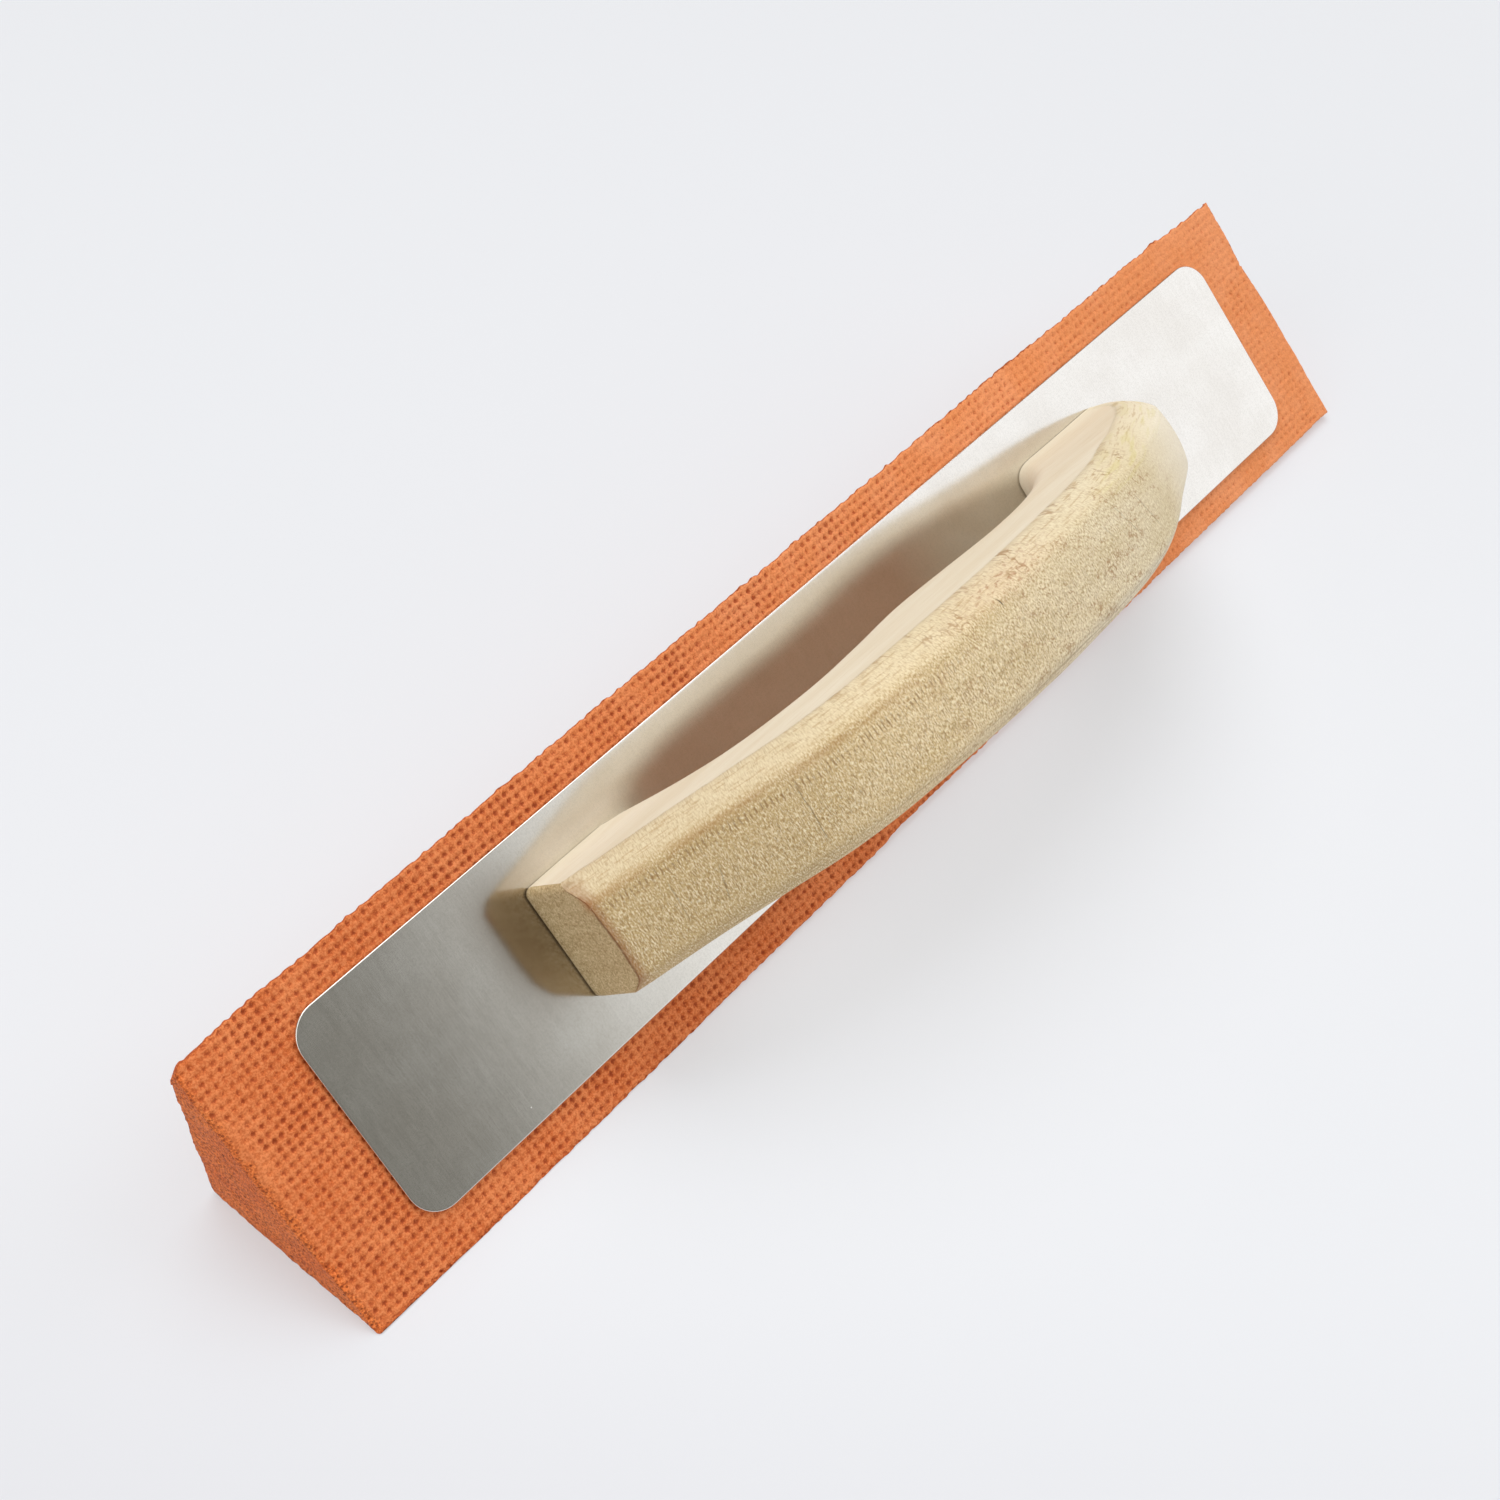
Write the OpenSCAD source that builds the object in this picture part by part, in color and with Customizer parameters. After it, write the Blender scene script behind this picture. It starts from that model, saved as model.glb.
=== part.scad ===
// Internal-corner sponge float: a V-section block of cellular rubber under a
// metal backing plate, with a bridge-shaped wooden handle screwed on from below.
//
// The tool lies on one of its two sole faces. X runs along the tool towards the
// handle's nose, Z is up, and the origin is the middle of the face it lies on.
// Every module but on_sole() works in the tool's own axes: x along the tool,
// y across the backing plate, z out of the sponge's flat back.

/* [Sponge] */
// Length of the sponge block
sponge_len = 418; // [410:1:440]
// Width of the sponge's flat back
sponge_w = 80; // [72:1:100]
// Height of the blunt strip along each long edge
edge_strip = 1.6; // [0.6:0.2:4]
// Radius of the ridge between the two sole faces
ridge_r = 2; // [1:0.5:6]

/* [Backing plate] */
// Length of the plate
plate_len = 372; // [340:1:400]
// Width of the plate
plate_w = 60; // [50:1:70]
// Thickness of the plate
plate_t = 1; // [0.8:0.1:2]
// Radius of the plate's corners
plate_corner_r = 8.5; // [4:0.5:15]
// How far the plate sits from the middle of the sponge, towards the nose
plate_shift = 3; // [-5:0.5:8]
// Thickness of the glue line between the plate and the sponge
glue_t = 0.3; // [0.2:0.1:0.5]

/* [Handle] */
// Thickness of the board that the handle is sawn from
handle_w = 34; // [30:1:40]
// Place of the handle's sawn rear face along the tool
handle_rear_x = -115; // [-125:1:-110]
// Height of the rear face
rear_h = 29; // [26:1:32]
// Height of the handle at its highest point
crown_h = 68.5; // [64:0.5:74]
// Gap between the plate and the swell under the middle of the grip
finger_gap = 26; // [24:0.5:28]
// Height of the long bevels, measured square to the crown
bevel_h = 9; // [6:0.5:10]
// Radius along both edges of the hand opening
opening_r = 6; // [4:0.5:7]
// Radius on the upright corners of the rear face
rear_corner_r = 2; // [1:0.5:4]
// How much narrower the nose is than the grip
nose_taper = 3; // [0:0.5:4]

/* [Screws] */
// Length of each screw under its head
screw_len = 25; // [20:1:26]
// Outside diameter of the thread
screw_d = 4; // [3.5:0.1:4.5]
// Diameter of the head
screw_head_d = 8; // [7:0.5:8.5]
// Height of the head
screw_head_h = 1.9; // [1.6:0.1:2.2]
// Distance between the ridges of the thread
thread_pitch = 1.8; // [1.6:0.2:2.4]

/* [Hidden] */
$fn = 64;

half_w = sponge_w / 2;
ridge_depth = half_w + edge_strip;
sole_lift = ridge_depth * cos(45);
// The resting face runs from the blunt strip to the ridge's rounding.
sole_shift = ridge_r / 2 - edge_strip * cos(45);

plate_z = glue_t;
wood_z = plate_z + plate_t;
glue_inset = 1;
cut_past = 1;

screw_clearance = 0.1;
screw_pocket_gap = 0.5;
// How far each bore in the wood runs past the screw's point
bore_past = 0.5;
// Rim of the pan head, as fractions of the head's radius and height
head_crown = 0.55;
head_rim = 0.45;
screw_root_d = screw_d - 1.2;
screw_neck_h = 2 * plate_t;
screw_point_h = 4;
// Distance of each screw from the handle's rear face
rear_outer_x = 10;
rear_inner_x = 25;
front_inner_x = 211;
front_outer_x = 228;
screw_xs = [rear_outer_x, rear_inner_x, front_inner_x, front_outer_x];

// Crown line of the handle, from the rear face over the grip and round the nose:
// distance from the rear face and height above the plate.
crown_rise = crown_h / 68.5;
crown_line = [
    [0, rear_h], [17, 38 * crown_rise], [35, 48 * crown_rise],
    [57, 59.5 * crown_rise], [85, 65.7 * crown_rise], [125, crown_h],
    [158, 66.5 * crown_rise], [187, 60 * crown_rise], [210, 46.5 * crown_rise],
    [228, 34.3 * crown_rise], [238.5, 23.8 * crown_rise], [244, 11.5], [245.5, 0]];
// Upper line of the hand opening, from foot to foot, with the finger swell.
opening_line = [
    [35, 0], [47, finger_gap - 11.5], [61, finger_gap - 1.5],
    [81, finger_gap + 3.4], [99, finger_gap + 2.6], [118, finger_gap],
    [137, finger_gap + 2.4], [156, finger_gap + 5.4], [173, finger_gap + 2.5],
    [187, finger_gap - 8], [199.5, 0]];
// Where the crown line stands over the ends of the opening, counted in its points
crown_over_rear = 2;
crown_over_front = 8;

rear_steps = 5;
arch_steps = 30;
nose_steps = 12;
last_station = rear_steps + arch_steps + nose_steps;
stations = last_station + 1;
toe_ledge = 6;

// Cuts through the board, as fractions of its half width, from the middle out
flat_part = 0.65;
cuts_out = [0, 0.45, flat_part, 0.75, 0.84, 0.92, 0.975, 1];
last_cut = len(cuts_out) - 1;
cuts = concat([for (i = [last_cut:-1:1]) -cuts_out[i]], cuts_out);
crown_camber = 0.8;
// Share of the long bevels that is flat rather than rounded
bevel_lean = 0.62;

// ---- curves ----------------------------------------------------------------

function end_point(p, i) =
    i < 0 ? 2 * p[0] - p[1]
    : i >= len(p) ? 2 * p[len(p) - 1] - p[len(p) - 2]
    : p[i];

// Point on the smooth curve through the points p; u counts the points.
function on_curve(p, u) =
    let (i = max(0, min(floor(u), len(p) - 2)), t = u - i,
         a = end_point(p, i - 1), b = p[i], c = p[i + 1], d = end_point(p, i + 2))
    0.5 * (2 * b + (c - a) * t + (2 * a - 5 * b + 4 * c - d) * t * t
           + (3 * b - a - 3 * c + d) * t * t * t);

// Unit normal of that curve, on its left-hand side
function curve_normal(p, u) =
    let (step = 0.02, v = on_curve(p, u + step) - on_curve(p, u - step))
    [-v[1], v[0]] / norm(v);

// Depth of a quarter round of radius r at a distance y from the mid-plane
function quarter_round(y, half, r) =
    y <= half - r ? 0 : r - sqrt(max(0, r * r - pow(y - half + r, 2)));

// Depth of the crown's camber and long bevel at a distance y from the mid-plane
function bevel(y, half) =
    let (flat = flat_part * half, t = max(0, (y - flat) / (half - flat)))
    crown_camber * pow(min(1, y / flat), 2)
    + bevel_h * (bevel_lean * t + (1 - bevel_lean) * (1 - sqrt(max(0, 1 - t * t))));

// ---- handle ------------------------------------------------------------------

function crown_u(i) =
    i <= rear_steps ? crown_over_rear * i / rear_steps
    : i <= rear_steps + arch_steps
      ? crown_over_rear + (crown_over_front - crown_over_rear) * (i - rear_steps) / arch_steps
      : crown_over_front
        + (len(crown_line) - 1 - crown_over_front) * (i - rear_steps - arch_steps) / nose_steps;

// Crown point at station i, let in by depth; the ends stay on their planes.
function crown_point(i, depth, rear_x) =
    let (u = crown_u(i), p = on_curve(crown_line, u), n = curve_normal(crown_line, u))
    i == 0 ? [rear_x, p[1] - depth / n[1]]
    : i == last_station ? [p[0] - depth / n[0], 0]
    : p - depth * n;

// Point of the opening's upper line, let into the wood by depth
function opening_point(f, depth) =
    let (u = f * (len(opening_line) - 1),
         p = on_curve(opening_line, u), n = curve_normal(opening_line, u))
    f <= 0 || f >= 1 ? [p[0] + depth / n[0], 0] : p + depth * n;

// Underside point at station i: rear foot, opening, then front foot
function under_point(i, depth, rear_x, toe_x) =
    i < rear_steps
    ? [rear_x + (opening_point(0, depth)[0] - rear_x) * i / rear_steps, 0]
    : i <= rear_steps + arch_steps ? opening_point((i - rear_steps) / arch_steps, depth)
    : let (x = opening_point(1, depth)[0])
      [x + (toe_x - toe_ledge - x) * (i - rear_steps - arch_steps) / nose_steps, 0];

// The nose narrows between these distances from the rear face.
taper_from = 170;
taper_to = 215;
function nose_narrowing(x) =
    let (t = max(0, min(1, (x - taper_from) / (taper_to - taper_from))))
    1 - nose_taper / handle_w * t * t * (3 - 2 * t);

function board_point(p, cut) =
    [p[0], cut * handle_w / 2 * nose_narrowing(p[0]), p[1]];

// One cut through the board: along the crown, then back along the underside
function board_cut(cut) =
    let (half = handle_w / 2, y = abs(cut) * half,
         bevel_in = bevel(y, half),
         round_in = quarter_round(y, half, opening_r),
         rear_x = quarter_round(y, half, rear_corner_r),
         toe_x = crown_point(last_station, bevel_in, rear_x)[0])
    concat(
        [for (i = [0:last_station]) board_point(crown_point(i, bevel_in, rear_x), cut)],
        [for (i = [last_station:-1:0])
            board_point(under_point(i, round_in, rear_x, toe_x), cut)]);

module handle_blank() {
    ring = 2 * stations;
    top_cut = (len(cuts) - 1) * ring;
    wall = [
        for (k = [0:len(cuts) - 2], j = [0:ring - 1])
            let (a = k * ring + j, b = k * ring + (j + 1) % ring, c = b + ring, d = a + ring)
            each [[a, d, c], [a, c, b]]];
    near_side = [
        for (i = [0:stations - 2])
            let (a = i, b = i + 1, c = ring - 2 - i, d = ring - 1 - i)
            each [[a, b, c], [a, c, d]]];
    far_side = [for (f = near_side) [top_cut + f[2], top_cut + f[1], top_cut + f[0]]];
    polyhedron(
        points = [for (cut = cuts) each board_cut(cut)],
        faces = concat(wall, near_side, far_side), convexity = 4);
}

module handle() {
    color("burlywood")
    on_sole() difference() {
        translate([handle_rear_x, 0, wood_z]) handle_blank();
        at_screws() translate([0, 0, wood_z - cut_past])
            cylinder(d = screw_d + screw_clearance, h = screw_len - plate_t + cut_past + bore_past);
    }
}

// ---- plate, glue and sponge ------------------------------------------------------

module rounded_sheet(length, width, r, thickness) {
    linear_extrude(thickness) {
        square([length - 2 * r, width], center = true);
        square([length, width - 2 * r], center = true);
        for (sx = [-1, 1], sy = [-1, 1])
            translate([sx * (length / 2 - r), sy * (width / 2 - r)]) circle(r);
    }
}

module backing_plate() {
    color("silver")
    on_sole() difference() {
        translate([plate_shift, 0, plate_z])
            rounded_sheet(plate_len, plate_w, plate_corner_r, plate_t);
        at_screws() translate([0, 0, plate_z - cut_past])
            cylinder(d = screw_d + 2 * screw_clearance, h = plate_t + 2 * cut_past);
    }
}

module adhesive_film() {
    color("wheat")
    on_sole() difference() {
        translate([plate_shift, 0, 0])
            rounded_sheet(plate_len - 2 * glue_inset, plate_w - 2 * glue_inset,
                          plate_corner_r - glue_inset, glue_t);
        at_screws() translate([0, 0, -cut_past])
            cylinder(d = screw_head_d + 2 * screw_pocket_gap, h = glue_t + 2 * cut_past);
    }
}

// Section of the sponge: a right-angled V under a flat back, with blunt long
// edges and a rounded ridge. It is drawn with its depth along -y.
module sponge_section() {
    touch = ridge_r * cos(45);
    round_at = ridge_depth - ridge_r / cos(45);
    polygon([[-half_w, 0], [-half_w, -edge_strip], [-touch, touch - ridge_depth],
             [touch, touch - ridge_depth], [half_w, -edge_strip], [half_w, 0]]);
    translate([0, -round_at]) circle(ridge_r);
}

module sponge_sole() {
    color("coral")
    on_sole() difference() {
        rotate([90, 0, 90]) linear_extrude(sponge_len, center = true) sponge_section();
        at_screws() translate([0, 0, -screw_head_h - screw_pocket_gap])
            cylinder(d = screw_head_d + 2 * screw_pocket_gap,
                     h = screw_head_h + screw_pocket_gap + cut_past);
    }
}

// ---- screws ------------------------------------------------------------------------

// Half section of a pan-head wood screw, head down; its thread is a row of ridges.
module screw_section() {
    root = screw_root_d / 2;
    crest = screw_d / 2;
    head = screw_head_d / 2;
    thread_from = screw_neck_h;
    ridges = floor((screw_len - screw_point_h - thread_from) / thread_pitch);
    polygon(concat(
        [[0, -screw_head_h], [head * head_crown, -screw_head_h],
         [head, -screw_head_h * head_rim],
         [head, 0], [root, 0], [root, thread_from]],
        [for (i = [0:ridges - 1]) each [
            [crest, thread_from + (i + 0.5) * thread_pitch],
            [root, thread_from + (i + 1) * thread_pitch]]],
        [[root, screw_len - screw_point_h], [0, screw_len]]));
}

module wood_screw() {
    recess_l = screw_head_d / 2;
    recess_w = screw_head_d / 8;
    recess_h = screw_head_h * 0.58;
    difference() {
        rotate_extrude() screw_section();
        for (turn = [0, 90])
            rotate(turn) translate([-recess_l / 2, -recess_w / 2, -screw_head_h - cut_past])
                cube([recess_l, recess_w, recess_h + cut_past]);
    }
}

module placed_screw(x) {
    color("gainsboro")
    on_sole() translate([handle_rear_x + x, 0, plate_z]) wood_screw();
}

// ---- placing -----------------------------------------------------------------------

// Lays the tool on its right-hand sole face.
module on_sole() {
    translate([0, sole_shift, sole_lift]) rotate([45, 0, 0]) children();
}

module at_screws() {
    for (x = screw_xs) translate([handle_rear_x + x, 0, 0]) children();
}

sponge_sole();
adhesive_film();
backing_plate();
handle();
placed_screw(rear_outer_x);  // rear_foot_screw_outer
placed_screw(rear_inner_x);  // rear_foot_screw_inner
placed_screw(front_inner_x);  // front_foot_screw_inner
placed_screw(front_outer_x);  // front_foot_screw_outer
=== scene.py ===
"""Corner sponge float: the looks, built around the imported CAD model.

Shapes are worked out in millimetres in the tool's own axes: x along the tool, y across
the backing plate and z out of the sponge's flat back. lie() turns such points into the
frame's axes, in metres, where the tool lies on its right-hand sole face.
"""

import itertools
import math

import bmesh
import bpy
import numpy as np
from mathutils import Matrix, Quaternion, Vector
from mathutils.geometry import delaunay_2d_cdt


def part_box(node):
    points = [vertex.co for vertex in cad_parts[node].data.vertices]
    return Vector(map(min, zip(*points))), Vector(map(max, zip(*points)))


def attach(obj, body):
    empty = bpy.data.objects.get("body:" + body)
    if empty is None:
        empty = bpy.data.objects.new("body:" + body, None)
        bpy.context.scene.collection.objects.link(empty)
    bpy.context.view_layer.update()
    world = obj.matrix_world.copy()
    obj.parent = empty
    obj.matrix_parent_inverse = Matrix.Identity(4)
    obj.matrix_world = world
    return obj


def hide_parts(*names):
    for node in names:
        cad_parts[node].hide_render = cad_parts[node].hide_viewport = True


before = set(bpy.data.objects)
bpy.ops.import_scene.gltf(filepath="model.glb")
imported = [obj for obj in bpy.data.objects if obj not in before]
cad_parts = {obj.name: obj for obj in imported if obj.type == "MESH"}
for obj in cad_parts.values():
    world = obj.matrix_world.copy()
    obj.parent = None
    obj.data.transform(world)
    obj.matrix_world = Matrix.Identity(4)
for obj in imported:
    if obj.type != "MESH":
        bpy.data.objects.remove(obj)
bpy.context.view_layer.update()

MM = 0.001
COS45 = math.sqrt(0.5)

# ---- camera --------------------------------------------------------------------------

VIEW_AZIMUTH = -48.85
VIEW_ELEVATION = 49.65
VIEW_ROLL = -0.46
VIEW_TARGET = Vector((-0.0175, 0.0216, 0.0009))
VIEW_DISTANCE = 0.651
LENS = 55.66
SENSOR = 36


def make_camera():
    azimuth, elevation = math.radians(VIEW_AZIMUTH), math.radians(VIEW_ELEVATION)
    back = Vector((math.sin(azimuth) * math.cos(elevation),
                   -math.cos(azimuth) * math.cos(elevation),
                   math.sin(elevation)))
    camera = bpy.data.objects.new("camera", bpy.data.cameras.new("camera"))
    bpy.context.collection.objects.link(camera)
    camera.data.lens = LENS
    camera.data.sensor_width = SENSOR
    camera.data.clip_start = 0.01
    camera.location = VIEW_TARGET + back * VIEW_DISTANCE
    camera.rotation_mode = "QUATERNION"
    roll = Quaternion((0, 0, 1), math.radians(VIEW_ROLL))
    camera.rotation_quaternion = (-back).to_track_quat("-Z", "Y") @ roll
    bpy.context.scene.camera = camera


make_camera()

# ---- the tool's axes -----------------------------------------------------------------

sponge_lo, sponge_hi = (np.array(corner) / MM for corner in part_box("sponge_sole"))
plate_lo, plate_hi = (np.array(corner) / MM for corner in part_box("backing_plate"))
handle_rear_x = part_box("handle")[0][0] / MM

EDGE_STRIP = 1.6
RIDGE_R = 2
GLUE_T = 0.3
PLATE_T = 1

# The sole faces meet the flat back at 45 degrees, which gives the half width.
sponge_half = (sponge_hi[2] / COS45 - EDGE_STRIP) / 2
ridge_depth = sponge_half + EDGE_STRIP
sole_lift = ridge_depth * COS45
sole_shift = sponge_hi[1] - sole_lift
near_x, far_x = sponge_lo[0], sponge_hi[0]
plate_half = (plate_hi[2] - sole_lift) / COS45 - PLATE_T - GLUE_T


def lie(points):
    """Points in the tool's axes, in millimetres, laid down in the frame, in metres."""
    x, y, z = np.asarray(points, float).T
    return np.stack([x, (y - z) * COS45 + sole_shift, (y + z) * COS45 + sole_lift], axis=1) * MM


# ---- numbers and noise ---------------------------------------------------------------


def smooth(value, low, high):
    t = np.clip((value - low) / (high - low), 0, 1)
    return t * t * (3 - 2 * t)


NOISE_CELLS = 1024


def hashed(cells, order):
    """One scattered number per row of whole numbers."""
    index = np.zeros(len(cells), int)
    for column in cells.T:
        index = order[(index + column) % len(order)]
    return index


def wander(points, size, seed):
    """Smooth noise between -1 and 1 with bumps about `size` wide; the seed picks one."""
    rng = np.random.default_rng(seed)
    order = rng.permutation(NOISE_CELLS)
    heights = rng.uniform(-1, 1, NOISE_CELLS)
    places = np.asarray(points, float) / size
    cells = np.floor(places).astype(int)
    part = places - cells
    part = part * part * (3 - 2 * part)
    total = np.zeros(len(places))
    for corner in itertools.product((0, 1), repeat=places.shape[1]):
        share = np.prod(np.where(corner, part, 1 - part), axis=1)
        total += share * heights[hashed(cells + corner, order)]
    return total


# ---- mesh helpers --------------------------------------------------------------------


class Patches:
    """Patches of points and faces, welded where their points meet."""

    def __init__(self):
        self.points, self.faces, self.marks, self.count = [], [], [], 0

    def add(self, points, faces, mark=0):
        self.points.append(np.asarray(points, float))
        self.faces += [[self.count + corner for corner in face] for face in faces]
        self.marks += [mark] * len(faces)
        self.count += len(points)

    def welded(self):
        points = np.concatenate(self.points)
        _, first, place = np.unique(
            np.round(points, 4), axis=0, return_index=True, return_inverse=True)
        place = place.reshape(-1)
        used = sorted({place[corner] for face in self.faces for corner in face})
        renamed = {old: new for new, old in enumerate(used)}
        faces, marks = [], []
        for face, mark in zip(self.faces, self.marks):
            corners = list(dict.fromkeys(renamed[place[corner]] for corner in face))
            if len(corners) > 2:
                faces.append(corners)
                marks.append(mark)
        return points[first[used]], faces, marks


def grid_faces(index):
    """Quads between the neighbours of a table of point numbers."""
    corners = np.stack([index[:-1, :-1], index[1:, :-1], index[1:, 1:], index[:-1, 1:]], -1)
    return corners.reshape(-1, 4).tolist()


def grid(rows):
    """Points and quads of a table of points."""
    table = np.asarray(rows, float)
    index = np.arange(table.shape[0] * table.shape[1]).reshape(table.shape[:2])
    return table.reshape(-1, 3), grid_faces(index)


HULL, INSIDE = 0, 1
MERGE_DISTANCE = 1e-5


def triangulated(points, edges, outlines, extent):
    """Triangles over points in the plane, as numbers of those points."""
    _, _, triangles, origin, _, _ = delaunay_2d_cdt(
        [Vector(point) for point in points], edges, outlines, extent, MERGE_DISTANCE)
    source = [numbers[0] for numbers in origin]
    return [[source[corner] for corner in triangle] for triangle in triangles]


FILL_SCATTER = 0.3
FILL_MARGIN = 0.45


def filled(outline, spacing, rng):
    """Triangles that fill a convex outline in the plane, over scattered inner points."""
    outline = np.asarray(outline, float)
    low, high = outline.min(axis=0), outline.max(axis=0)
    across = [np.arange(a + spacing / 2, b, spacing) for a, b in zip(low, high)]
    inner = np.stack(np.meshgrid(*across), -1).reshape(-1, 2)
    inner += rng.uniform(-FILL_SCATTER, FILL_SCATTER, inner.shape) * spacing
    along = np.roll(outline, -1, axis=0) - outline
    length = np.linalg.norm(along, axis=1)
    for start, step, size in zip(outline, along, length):
        side = ((inner[:, 1] - start[1]) * step[0] - (inner[:, 0] - start[0]) * step[1]) / size
        inner = inner[side > spacing * FILL_MARGIN]
    points = np.concatenate([outline, inner])
    return points, triangulated(points, [], [list(range(len(outline)))], INSIDE)


def make_piece(name, points, faces, materials, marks=None, **attributes):
    """A smooth-shaded piece from points in the tool's axes, with numbers kept per point."""
    mesh = bpy.data.meshes.new(name)
    mesh.from_pydata(lie(points).tolist(), [], faces)
    for key, values in attributes.items():
        attribute = mesh.attributes.new(key, "FLOAT", "POINT")
        attribute.data.foreach_set("value", np.asarray(values, float))
    for material in materials:
        mesh.materials.append(material)
    if marks:
        mesh.polygons.foreach_set("material_index", marks)
    shell = bmesh.new()
    shell.from_mesh(mesh)
    bmesh.ops.recalc_face_normals(shell, faces=shell.faces)
    shell.to_mesh(mesh)
    shell.free()
    mesh.shade_smooth()
    piece = bpy.data.objects.new(name, mesh)
    bpy.context.collection.objects.link(piece)
    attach(piece, "root")
    return piece


# ---- shader helpers ------------------------------------------------------------------


def srgb(red, green, blue):
    """Colour from 0 to 255 as it shows on a screen, as linear light."""
    def linear(value):
        value /= 255
        return value / 12.92 if value <= 0.04045 else ((value + 0.055) / 1.055) ** 2.4
    return (linear(red), linear(green), linear(blue), 1)


class Shader:
    """A material under construction. Its methods return sockets."""

    def __init__(self, name):
        self.material = bpy.data.materials.new(name)
        self.material.use_nodes = True
        self.tree = self.material.node_tree
        self.surface = self.tree.nodes["Principled BSDF"]

    def feed(self, socket, value):
        if isinstance(value, bpy.types.NodeSocket):
            self.tree.links.new(value, socket)
        else:
            socket.default_value = value

    def set(self, **values):
        for key, value in values.items():
            self.feed(self.surface.inputs[key.replace("_", " ")], value)

    def node(self, kind, settings, inputs, output=0):
        node = self.tree.nodes.new(kind)
        for key, value in settings.items():
            setattr(node, key, value)
        for key, value in inputs.items():
            self.feed(node.inputs[key], value)
        return node.outputs[output]

    def math(self, operation, *values):
        return self.node("ShaderNodeMath", {"operation": operation}, dict(enumerate(values)))

    def attribute(self, name):
        return self.node("ShaderNodeAttribute", {"attribute_name": name}, {}, "Fac")

    def axes(self):
        """The tool's own axes, in metres."""
        place = self.node("ShaderNodeTexCoord", {}, {}, "Object")
        return self.node("ShaderNodeMapping", {"vector_type": "TEXTURE"}, {
            "Vector": place,
            "Location": (0, sole_shift * MM, sole_lift * MM),
            "Rotation": (math.pi / 4, 0, 0)})

    def parts(self, vector):
        split = self.tree.nodes.new("ShaderNodeSeparateXYZ")
        self.feed(split.inputs[0], vector)
        return split.outputs[0], split.outputs[1], split.outputs[2]

    def joined(self, x, y, z):
        return self.node("ShaderNodeCombineXYZ", {}, {0: x, 1: y, 2: z})

    def stretched(self, vector, sizes):
        """The vector divided by sizes in millimetres, for noise that long and wide."""
        scale = tuple(1 / (size * MM) for size in sizes)
        return self.node("ShaderNodeVectorMath", {"operation": "MULTIPLY"}, {0: vector, 1: scale})

    def noise(self, vector, sizes, detail=2, roughness=0.5):
        return self.node("ShaderNodeTexNoise", {}, {
            "Vector": self.stretched(vector, sizes), "Scale": 1, "Detail": detail,
            "Roughness": roughness}, "Fac")

    def cells(self, vector, size):
        """Distance to the middle of the nearest of scattered cells about `size` wide."""
        return self.node("ShaderNodeTexVoronoi", {"feature": "F1"}, {
            "Vector": self.stretched(vector, (size, size, size)), "Scale": 1}, "Distance")

    def between(self, value, low, high, to_low=0, to_high=1):
        """Eases from to_low to to_high as the value goes from low to high."""
        return self.node("ShaderNodeMapRange", {"interpolation_type": "SMOOTHSTEP"}, {
            "Value": value, "From Min": low, "From Max": high,
            "To Min": to_low, "To Max": to_high})

    def bell(self, value, centre, width):
        """1 at the centre, fading to 0 at `width` to both sides."""
        away = self.math("ABSOLUTE", self.math("SUBTRACT", value, centre))
        return self.between(away, 0, width, 1, 0)

    def chained(self, operation, values):
        result = values[0]
        for value in values[1:]:
            result = self.math(operation, result, value)
        return result

    def product(self, *values):
        return self.chained("MULTIPLY", values)

    def total(self, *values):
        return self.chained("ADD", values)

    def largest(self, *values):
        return self.chained("MAXIMUM", values)

    def mixed(self, share, first, second):
        return self.node("ShaderNodeMix", {"data_type": "RGBA"},
                         {0: share, 6: first, 7: second}, 2)

    def bumped(self, height, depth, under=None):
        """A normal for a height from 0 to 1 that stands `depth` millimetres high."""
        inputs = {"Height": height, "Distance": depth * MM, "Strength": 1}
        if under is not None:
            inputs["Normal"] = under
        return self.node("ShaderNodeBump", {}, inputs)


# ---- materials -----------------------------------------------------------------------


def moulded_skin(s, place, grain, patch, blotch):
    """Skin with a cloth imprint, dark in the pits partly with painted shade, with painted
    highlights on the ridges and painted light making it paler towards the far end.
    """
    x, y, _ = s.parts(place)
    near_skin = s.mixed(s.between(patch, 0.35, 0.7), srgb(217, 112, 54), srgb(229, 129, 72))
    # Painted light: the skin, and its pit and grain tones below, turn paler towards the far end.
    far_skin_painted_pale = s.mixed(s.between(patch, 0.35, 0.7), srgb(240, 150, 92), srgb(246, 162, 110))
    painted_light_fade = s.math("ADD", x, s.product(y, 1.6))
    skin = s.mixed(s.between(painted_light_fade, -0.15, 0.14), near_skin, far_skin_painted_pale)
    far = s.between(x, -0.05, 0.15)
    pit = s.math("ADD", s.attribute("pit"), s.between(grain, 0.3, 0.7, 0.2, -0.2))
    # Darker in the pits: partly the rubber's own tone, partly painted shade standing in for the
    # shade inside the dimples.
    pit_tone_and_shade = s.mixed(far, srgb(158, 62, 26), srgb(186, 90, 50))
    grain_tone = s.mixed(far, srgb(180, 86, 44), srgb(216, 122, 72))
    skin = s.mixed(s.between(blotch, 0.5, 0.8, 0, 0.3), skin, grain_tone)
    skin = s.mixed(s.between(pit, 0.22, 0.7, 0, 0.74), skin, pit_tone_and_shade)
    # Painted highlight: the ridges between the pits are lightened.
    skin = s.mixed(s.between(pit, 0.0, 0.22, 0.28, 0), skin, srgb(250, 160, 104))
    skin = s.mixed(s.between(grain, 0.36, 0.58, 0.42, 0), skin, grain_tone)
    return s.mixed(s.between(grain, 0.52, 0.72, 0, 0.35), skin, srgb(250, 164, 112))


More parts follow.
